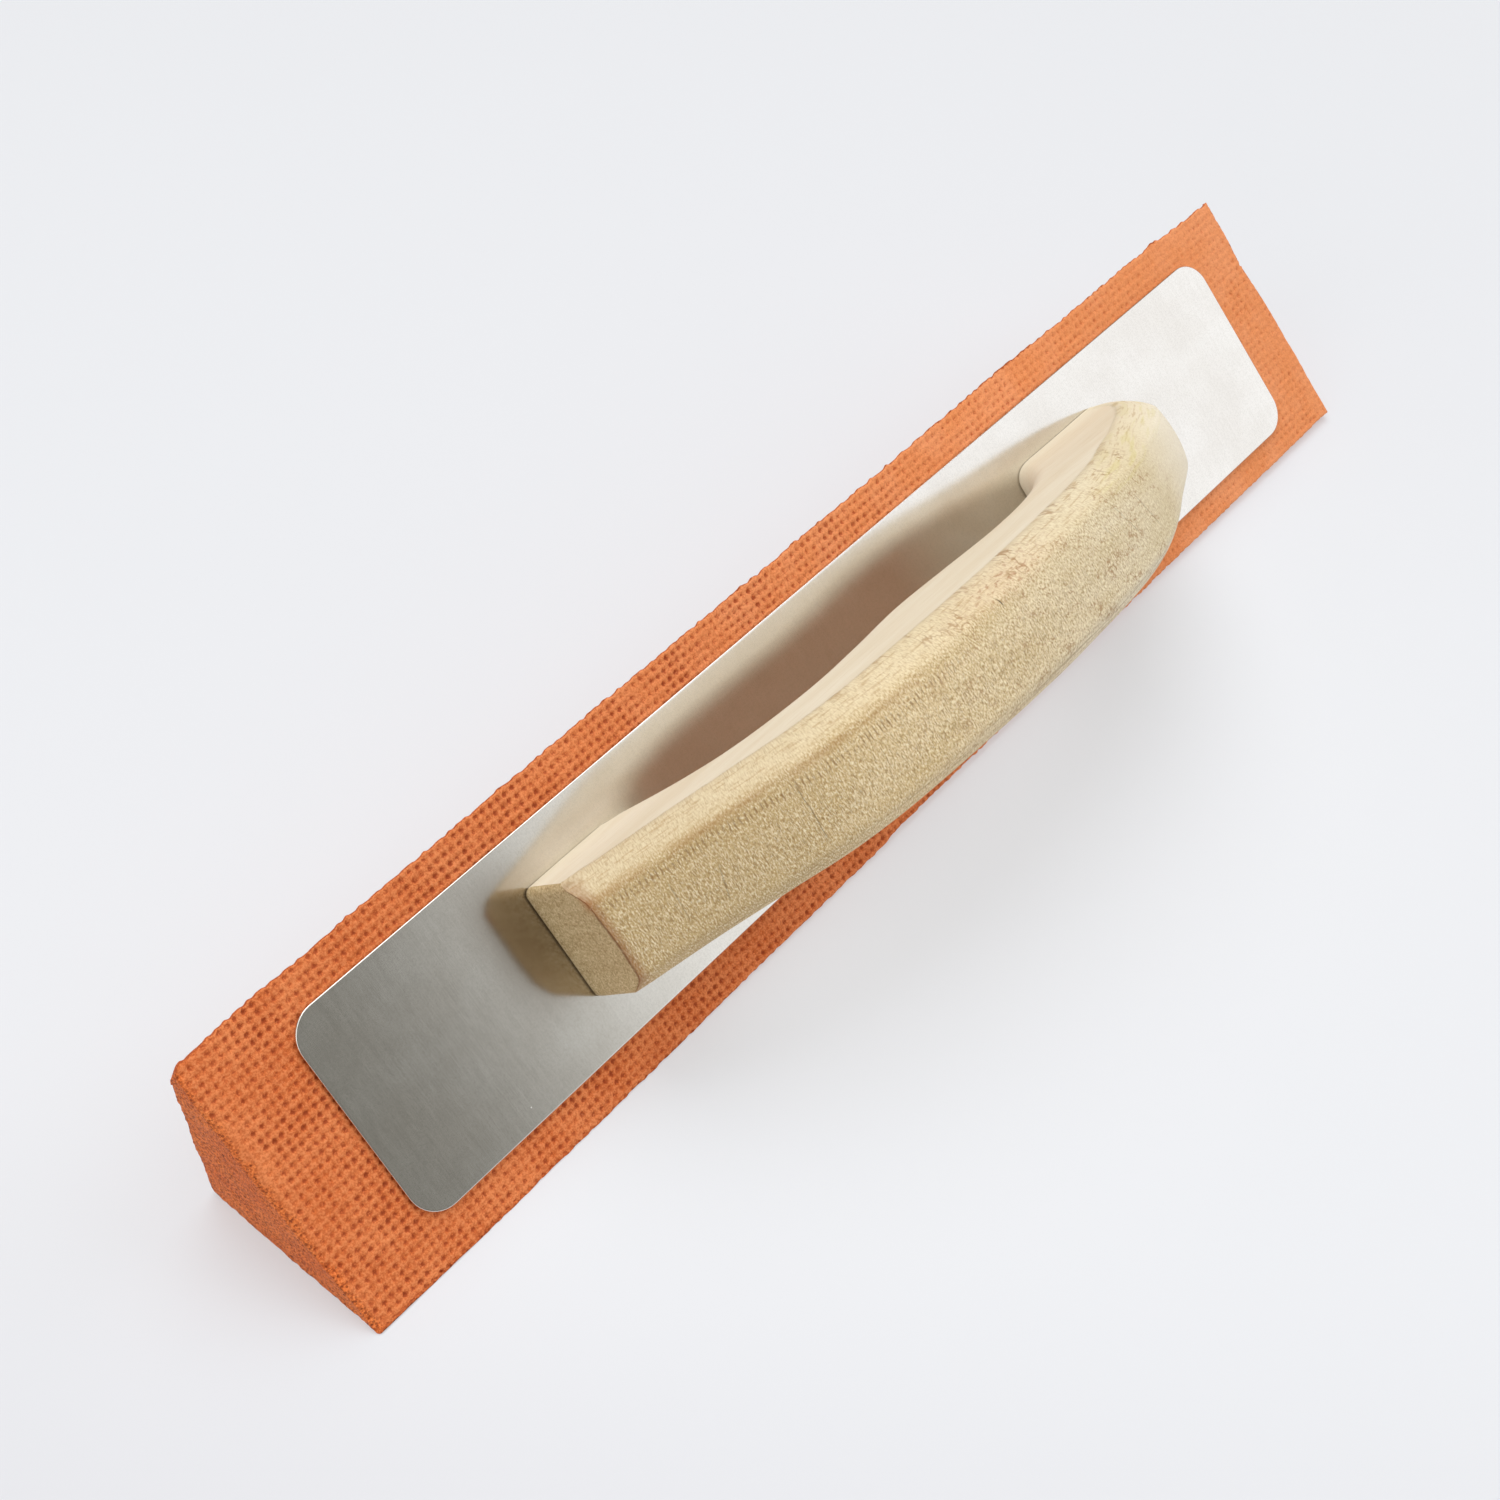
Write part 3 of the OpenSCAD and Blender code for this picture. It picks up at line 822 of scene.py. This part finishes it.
def shape_sponge(points, steps):
    """The block's points moved to the worn, hand-cut shape, their pit shares with painted shade
    on the edge strips, and their cut shares.
    """
    x, y, z = points.T
    top = z > -1e-6
    side = np.sign(y)
    near_half = x < 0

    edge = cut_edge(x, side)
    y, z = moved_to_edge(x, y, z, edge)
    near_in, far_in = end_insets(y, z)
    x = (x + near_in * (1 - smooth(x, near_x, near_x + END_REACH))
         - far_in * smooth(x, far_x - END_REACH, far_x))
    to_near, to_far, to_side, depth = worn_corners(
        x, y, x - near_x - near_in, far_x - far_in - x, edge - np.abs(y), -z)
    x = np.where(near_half, near_x + near_in + to_near, far_x - far_in - to_far)
    y = side * (edge - to_side)

    pit, weave, grain = imprint(x, y, to_near, steps)
    pit, weave = pit * top, weave * top
    z = -depth - PIT_DEPTH * pit - WEAVE_DEPTH * weave - grain * top

    # Torn cells on the cut faces, always inwards
    where = np.stack([x, y, z], -1)
    tear = TEAR_FINE * (1 + wander(where, 1.2, 30)) + TEAR_BROAD * (1 + wander(where, 6, 31))
    on_end = ~top & ((to_near < 1e-3) | (to_far < 1e-3))
    on_sole = ~top & ~on_end & (-points[:, 2] > EDGE_STRIP - 1e-6)
    x = x + np.where(on_end, np.where(near_half, tear, -tear), 0)
    y = y - np.where(on_sole, side * tear * COS45, 0)
    z = z + np.where(on_sole, tear * COS45, 0)
    z = np.maximum(z, np.abs(y) - ridge_depth)

    place = np.stack([x, y], -1)
    cut = np.where(top, 1 - smooth(to_near + 1.4 * wander(place, 2.4, 32), 0.3, 2.4), 1)
    on_strip = (points[:, 2] < -1e-6) & (np.abs(points[:, 1]) > sponge_half - 1e-6)
    # The edge strips are cut faces, partly sawn in look; they also take the full pit share, which
    # paints them dark as painted shadow.
    dent_and_strip_shade = np.where(on_strip, 1, 0.85 * pit + 0.15 * weave)
    return np.stack([x, y, z], -1), np.clip(dent_and_strip_shade, 0, 1), np.where(on_strip, STRIP_CUT_SHARE, cut)


def make_sponge():
    (points, faces), steps = sponge_patches()
    points, pit, cut = shape_sponge(points, steps)
    sponge = make_piece("sponge_block", points, faces, [cellular_rubber()], pit=pit, cut=cut)
    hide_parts("sponge_sole")


# ---- plate ---------------------------------------------------------------------------

PLATE_CORNER_R = 8.5
PLATE_CORNER_STEPS = 12
PLATE_EDGE_R = 0.3
PLATE_RING = 0.25
SCREW_PLACES = [10, 25, 211, 228]  # from the handle's rear face
SCREW_HOLE_R = 2.1
SCREW_HOLE_SIDES = 16
PLATE_GRID = 6
PLATE_SHARP_ANGLE = 50


def plate_outline(inset):
    """Rounded outline of the plate, set in by `inset`, counter-clockwise."""
    centre = (plate_lo[0] + plate_hi[0]) / 2
    half_l = (plate_hi[0] - plate_lo[0]) / 2
    r = PLATE_CORNER_R - inset
    points = []
    for corner, (sx, sy) in enumerate([(1, 1), (-1, 1), (-1, -1), (1, -1)]):
        for step in range(PLATE_CORNER_STEPS + 1):
            turn = math.pi / 2 * (corner + step / PLATE_CORNER_STEPS)
            points.append((centre + sx * (half_l - PLATE_CORNER_R) + r * math.cos(turn),
                           sy * (plate_half - PLATE_CORNER_R) + r * math.sin(turn)))
    return points


def make_plate():
    """The sheet, with a rounded edge and a barely uneven face, and its screw holes."""
    sheet = Patches()
    top_z, low_z = GLUE_T + PLATE_T, GLUE_T
    profile = [(PLATE_EDGE_R * (1 - math.sin(a)), top_z - PLATE_EDGE_R * (1 - math.cos(a)))
               for a in np.radians([0, 22.5, 45, 67.5, 90])]
    profile += [(PLATE_EDGE_R * (1 - math.cos(a)), low_z + PLATE_EDGE_R * (1 - math.sin(a)))
                for a in np.radians([0, 45, 90])]
    flat_inset = PLATE_EDGE_R + PLATE_RING
    profile = [(flat_inset, top_z), *profile, (flat_inset, low_z)]
    rings = [[(x, y, z) for x, y in plate_outline(inset)] for inset, z in profile]
    rings = [ring + ring[:1] for ring in rings]
    sheet.add(*grid(rings))

    turns = np.linspace(0, 2 * math.pi, SCREW_HOLE_SIDES + 1)[:-1]
    centres = [(handle_rear_x + place, 0) for place in SCREW_PLACES]
    holes = [[(x + SCREW_HOLE_R * math.cos(t), SCREW_HOLE_R * math.sin(t)) for t in turns]
             for x, _ in centres]
    for hole in holes:
        wall = [[(x, y, z) for x, y in hole + hole[:1]] for z in (top_z, low_z)]
        sheet.add(*grid(wall))

    def clear_of_holes(point, gap):
        return all(math.dist(tuple(point), centre) > gap for centre in centres)

    outline = plate_outline(flat_inset)
    spread = [(x, y)
              for x in np.arange(plate_lo[0] + PLATE_GRID, plate_hi[0] - 4, PLATE_GRID)
              for y in np.arange(-4 * PLATE_GRID, 4 * PLATE_GRID + 1, PLATE_GRID)
              if clear_of_holes((x, y), 2 * SCREW_HOLE_R)]
    flat = outline + [p for hole in holes for p in hole] + spread
    edges, start = [], 0
    for ring in [outline, *holes]:
        size = len(ring)
        edges += [(start + k, start + (k + 1) % size) for k in range(size)]
        start += size
    faces = [corners for corners in triangulated(flat, edges, [], HULL)
             if clear_of_holes(np.mean([flat[c] for c in corners], axis=0),
                               0.98 * SCREW_HOLE_R)]
    for z in (top_z, low_z):
        sheet.add([(x, y, z) for x, y in flat], faces)
    points, faces, _ = sheet.welded()
    plate = make_piece("metal_plate", points, faces, [brushed_plate()])
    plate.data.set_sharp_from_angle(angle=math.radians(PLATE_SHARP_ANGLE))
    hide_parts("backing_plate")


# ---- handle --------------------------------------------------------------------------

HANDLE_W = 34
BEVEL_H = 9
CROWN_CAMBER = 0.8
BEVEL_LEAN = 0.62
OPENING_R = 6
REAR_CORNER_R = 2
NOSE_TAPER = 3
TAPER_FROM, TAPER_TO = 170, 215
TOE_LEDGE = 6

# Distance from the rear face and height above the plate, as on the CAD handle
CROWN_LINE = np.array([
    (0, 29), (17, 38), (35, 48), (57, 59.5), (85, 65.7), (125, 68.5), (158, 66.5),
    (187, 60), (210, 46.5), (228, 34.3), (238.5, 23.8), (244, 11.5), (245.5, 0)])
OPENING_LINE = np.array([
    (35, 0), (47, 14.5), (61, 24.5), (81, 29.4), (99, 28.6), (118, 26), (137, 28.4),
    (156, 31.4), (173, 28.5), (187, 18), (199.5, 0)])
CROWN_OVER_REAR, CROWN_OVER_FRONT = 2, 8
REAR_STEPS, ARCH_STEPS, NOSE_STEPS = 14, 132, 46
CUT_STEPS = 20
FACE_ROWS = 12
CROWN, UNDER, TOE, SIDE, REAR = range(5)
HANDLE_SHARP_ANGLE = 48


def on_curve(line, u):
    """Points on the smooth curve through a line's points; u counts the points."""
    padded = np.concatenate([[2 * line[0] - line[1]], line, [2 * line[-1] - line[-2]]])
    i = np.clip(np.floor(u).astype(int), 0, len(line) - 2)
    t = (u - i)[:, None]
    a, b, c, d = (padded[i + k] for k in range(4))
    return 0.5 * (2 * b + (c - a) * t + (2 * a - 5 * b + 4 * c - d) * t ** 2
                  + (3 * b - a - 3 * c + d) * t ** 3)


def curve_normal(line, u):
    along = on_curve(line, u + 0.02) - on_curve(line, u - 0.02)
    along /= np.linalg.norm(along, axis=1)[:, None]
    return np.stack([-along[:, 1], along[:, 0]], -1)


def quarter_round(y, r):
    half = HANDLE_W / 2
    return 0 if y <= half - r else r - math.sqrt(max(0, r * r - (y - half + r) ** 2))


def bevel_depth(y, from_rear):
    """Depth of camber and bevel at a distance y from the mid-plane, along the crown."""
    half = HANDLE_W / 2
    flat = half * (0.65 - 0.09 * smooth(from_rear, 165, 225))
    t = np.clip((y - flat) / (half - flat), 0, 1)
    ease = 0.12
    lean = (np.sqrt(t * t + ease * ease) - ease) / (math.sqrt(1 + ease * ease) - ease)
    return (CROWN_CAMBER * np.minimum(1, y / flat) ** 2
            + BEVEL_H * (BEVEL_LEAN * lean + (1 - BEVEL_LEAN) * (1 - np.sqrt(1 - t * t))))


def handle_cut(y):
    """Upper and lower line of a cut through the board at y from its mid-plane."""
    last = len(CROWN_LINE) - 1
    u = np.concatenate([
        np.linspace(0, CROWN_OVER_REAR, REAR_STEPS + 1)[:-1],
        np.linspace(CROWN_OVER_REAR, CROWN_OVER_FRONT, ARCH_STEPS + 1)[:-1],
        np.linspace(CROWN_OVER_FRONT, last, NOSE_STEPS + 1)])
    line, normal = on_curve(CROWN_LINE, u), curve_normal(CROWN_LINE, u)
    bevel = bevel_depth(y, line[:, 0])
    rear = quarter_round(y, REAR_CORNER_R)
    crown = line - bevel[:, None] * normal
    crown[0] = rear, line[0, 1] - bevel[0] / normal[0, 1]
    crown[-1] = line[-1, 0] - bevel[-1] / normal[-1, 0], 0

    lift = quarter_round(y, OPENING_R)
    v = np.linspace(0, len(OPENING_LINE) - 1, ARCH_STEPS + 1)
    arch = on_curve(OPENING_LINE, v)
    out = curve_normal(OPENING_LINE, v)
    ends = [(arch[k, 0] + lift / out[k, 0], 0) for k in (0, -1)]
    arch = arch + lift * out
    arch[0], arch[-1] = ends
    foot = np.linspace((rear, 0), arch[0], REAR_STEPS + 1)[:-1]
    toe = np.linspace(arch[-1], (crown[-1, 0] - TOE_LEDGE, 0), NOSE_STEPS + 1)[1:]
    under = np.concatenate([foot, arch, toe])
    return crown, under


def at_depth(line, y):
    return [(px, y, pz) for px, pz in line]


def handle_patches():
    """Crown, underside, rear face and toe across the board, then both sides."""
    half = HANDLE_W / 2
    out = np.sin(np.linspace(0, math.pi / 2, CUT_STEPS + 1))
    shares = np.concatenate([-out[:0:-1], out])
    rows = np.append(0.975 * np.linspace(0, 1, FACE_ROWS + 1) ** 1.5, 1)
    wood = Patches()
    crowns, unders, rears, toes = [], [], [], []
    for share in shares:
        y = share * half
        crown, under = handle_cut(abs(y))
        between = [crown + r * (under - crown) for r in rows]
        crowns.append(at_depth(crown, y))
        unders.append(at_depth(under, y))
        rears.append(at_depth([line[0] for line in between], y))
        toes.append(at_depth([line[-1] for line in between], y))
        if abs(share) == 1:
            wood.add(*grid([at_depth(line, y) for line in between]), mark=SIDE)
    for mark, table in [(CROWN, crowns), (UNDER, unders), (TOE, toes), (REAR, rears)]:
        wood.add(*grid(table), mark=mark)
    return wood.welded()


def make_handle():
    points, faces, marks = handle_patches()
    x, y, z = points.T
    half = HANDLE_W / 2

    # Numbers for the material: length along the crown, share of crown, burnt rim, underside for
    # painted shade
    steps = np.linspace(0, len(CROWN_LINE) - 1, 600)
    line = on_curve(CROWN_LINE, steps)
    length = np.concatenate([[0], np.cumsum(np.linalg.norm(np.diff(line, axis=0), axis=1))])
    gaps = np.hypot(x[:, None] - line[None, :, 0], z[:, None] - line[None, :, 1])
    nearest = gaps.argmin(axis=1)
    below = gaps.min(axis=1)
    along = length[nearest] * MM
    own_bevel = bevel_depth(np.minimum(np.abs(y), half), x)
    crown = 1 - np.clip((below - own_bevel) / 5, 0, 1)
    rim = (1 - smooth(x, 0, 2.2)) * (1 - smooth(below - own_bevel, 0, 2.4))

    under = np.zeros(len(points))
    for face, mark in zip(faces, marks):
        if mark == UNDER:
            under[face] = 1
    under *= smooth(x, 38, 60) * (1 - smooth(x, 164, 186))
    under *= 1 - smooth(np.abs(y), half - 5, half - 1)

    # The nose narrows, and hand sanding has taken more off the right-hand side.
    narrow = 1 - NOSE_TAPER / HANDLE_W * smooth(x, TAPER_FROM, TAPER_TO)
    rear_off = (0.03 + 0.045 * np.minimum(1, z / 20)) * (1 - smooth(x, 15, 75))
    nose_off = 0.12 * smooth(x, 182, 228)
    y = y * narrow * np.where(y < 0, 1 - rear_off - nose_off, 1)
    place = np.stack([x, y, z], -1)
    free = smooth(z, 0.2, 3)
    swell = (0.22 * wander(place, 17, 41) + 0.07 * wander(place, 6, 42)) * crown * free
    z = z + swell - 0.25 * crown * free
    y = y + 0.15 * wander(place, 24, 43) * free
    at_rear = 1 - smooth(x, 0, 3)
    eased = 1 - smooth(z, 0, 0.8)
    x = x + handle_rear_x + 0.12 * (1 + wander(place, 9, 44)) * at_rear * free
    x = x + 0.5 * eased * at_rear
    y = y - 0.4 * eased * np.sign(y) * smooth(np.abs(y), half - 3, half)
    z = z + GLUE_T + PLATE_T

    points = np.stack([x, y, z], -1)
    handle = make_piece(
        "beech_handle", points, faces, [raw_beech(), beech_end_grain()],
        marks=[int(mark == REAR) for mark in marks],
        along=along, crown=crown, rim=rim, under=under)
    handle.data.set_sharp_from_angle(angle=math.radians(HANDLE_SHARP_ANGLE))
    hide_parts("handle")


# ---- carried-over nodes, floor and light ---------------------------------------------


def dress_cad_nodes():
    glue, zinc = contact_adhesive(), zinc_screw()
    for name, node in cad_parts.items():
        if name == "adhesive_film" or name.endswith(("_inner", "_outer")):
            for material_slot in node.material_slots:
                material_slot.material = glue if name == "adhesive_film" else zinc


FLOOR_R = 12
FLOOR_SIDES = 64
SCREEN_EDGE = (0.848, 0.405, -0.342)
SCREEN_MIDDLE = (0.66, -0.62, 0.42)
DARK_STUDIO, BRIGHT_SCREEN = 0.24, 1.27
KEY_WAY = Vector((-0.25, -0.4, -0.88))
KEY_POWER, KEY_SPREAD = 1.3, 50


def make_floor():
    mesh = bpy.data.meshes.new("floor")
    ring = [(FLOOR_R * math.cos(a), FLOOR_R * math.sin(a), 0)
            for a in np.linspace(0, 2 * math.pi, FLOOR_SIDES + 1)[:-1]]
    mesh.from_pydata(ring, [], [list(range(len(ring)))])
    mesh.materials.append(pale_floor())
    floor = bpy.data.objects.new("floor", mesh)
    bpy.context.collection.objects.link(floor)


def soft_panel(name, place, size, power):
    """A rectangular lamp that faces the middle of the frame."""
    lamp = bpy.data.lights.new(name, "AREA")
    lamp.shape = "RECTANGLE"
    lamp.size, lamp.size_y = size
    lamp.energy = power
    panel = bpy.data.objects.new(name, lamp)
    panel.location = place
    panel.rotation_mode = "QUATERNION"
    panel.rotation_quaternion = (-Vector(place)).to_track_quat("-Z", "Y")
    bpy.context.collection.objects.link(panel)


class Sky(Shader):
    """The same helpers, on the nodes of a world."""

    def __init__(self, name):
        self.material = bpy.data.worlds.new(name)
        self.material.use_nodes = True
        self.tree = self.material.node_tree
        self.surface = self.tree.nodes["Background"]


def studio_sky():
    """A dim warm studio with one wide bright screen, soft at its edges."""
    s = Sky("studio")
    way = s.node("ShaderNodeTexCoord", {}, {}, "Generated")

    def dot(direction):
        return s.node("ShaderNodeVectorMath", {"operation": "DOT_PRODUCT"},
                      {0: way, 1: direction}, "Value")

    past_edge = s.between(dot(SCREEN_EDGE), -0.35, 0.05)
    near_middle = s.between(dot(SCREEN_MIDDLE), 0.72, 0.88)
    screen = s.between(s.product(past_edge, near_middle), 0, 1)
    s.set(Color=s.mixed(screen, (1, 0.99, 0.9, 1), (0.97, 0.98, 1, 1)))
    s.set(Strength=s.between(screen, 0, 1, DARK_STUDIO, BRIGHT_SCREEN))
    return s.material


def make_light():
    bpy.context.scene.world = studio_sky()
    bpy.context.scene.view_settings.view_transform = "Standard"
    sun = bpy.data.objects.new("key", bpy.data.lights.new("key", "SUN"))
    sun.data.energy = KEY_POWER
    sun.data.angle = math.radians(KEY_SPREAD)
    sun.rotation_mode = "QUATERNION"
    sun.rotation_quaternion = KEY_WAY.to_track_quat("-Z", "Y")
    bpy.context.collection.objects.link(sun)
    soft_panel("ceiling", (-0.2, -0.35, 1.85), (2.2, 2.0), 15)
    soft_panel("fill", (-1.6, -0.1, 0.9), (1.6, 1.4), 7)


make_sponge()
make_plate()
make_handle()
dress_cad_nodes()
make_floor()
make_light()
